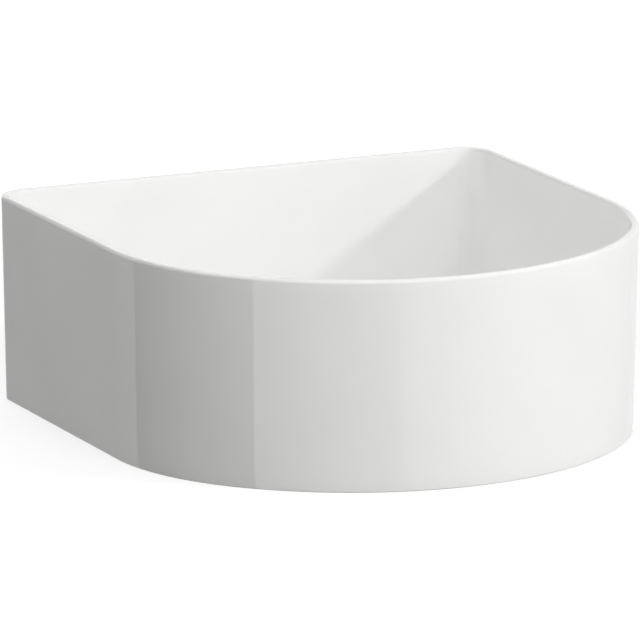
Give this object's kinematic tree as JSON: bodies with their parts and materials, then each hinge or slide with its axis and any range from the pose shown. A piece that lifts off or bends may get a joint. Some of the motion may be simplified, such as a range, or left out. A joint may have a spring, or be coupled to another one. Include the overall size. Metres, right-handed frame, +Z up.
{
  "type": "countertop hand basin",
  "caption": "D-shaped countertop hand basin of thin glazed ceramic, flat back and round front, with a push-open waste whose tail drains through the counter.",
  "frame": {"origin": "on the counter plane, on the outlet's axis", "axes": "+X the user's right, +Y the flat back that goes to the wall, +Z up"},
  "size_m": [0.34, 0.34, 0.194],
  "materials": {
    "bowl_glaze": "glossy white glaze",
    "waste_chrome": "polished chrome on brass",
    "nut_brass": "bare turned brass",
    "seal_rubber": "black moulded rubber",
    "white_plastic": "natural moulded acetal",
    "spring_steel": "drawn stainless wire and sheet"
  },
  "bodies": {
    "basin": {"basin_bowl": "bowl_glaze", "waste_body": "waste_chrome", "flange_gasket": "seal_rubber", "under_gasket": "seal_rubber", "slip_washer": "white_plastic", "back_nut": "nut_brass", "cartridge_sleeve": "nut_brass", "guide_bush": "white_plastic", "rod_seal": "seal_rubber", "return_spring": "spring_steel"},
    "plug": {"plug_cap": "bowl_glaze", "plug_seal": "seal_rubber", "plug_carrier": "white_plastic", "plug_stem": "nut_brass", "lock_nut": "nut_brass", "plunger": "white_plastic", "thrust_washer": "spring_steel"},
    "rotor": {"index_rotor": "white_plastic"}
  },
  "joints": [
    {"name": "plug_slide", "type": "slide", "parent": "basin", "child": "plug", "axis": [0, 0, 1], "range_m": [-0.009, 0], "deforming": ["return_spring"]},
    {"name": "rotor_turn", "type": "hinge", "parent": "plug", "child": "rotor", "pos_m": [0, 0, -0.03], "axis": [0, 0, 1], "range_deg": [-45, 0]}
  ],
  "couplings": [
    {"joint": "rotor_turn", "follows": "plug_slide", "rad_per_m": 87.266}
  ]
}
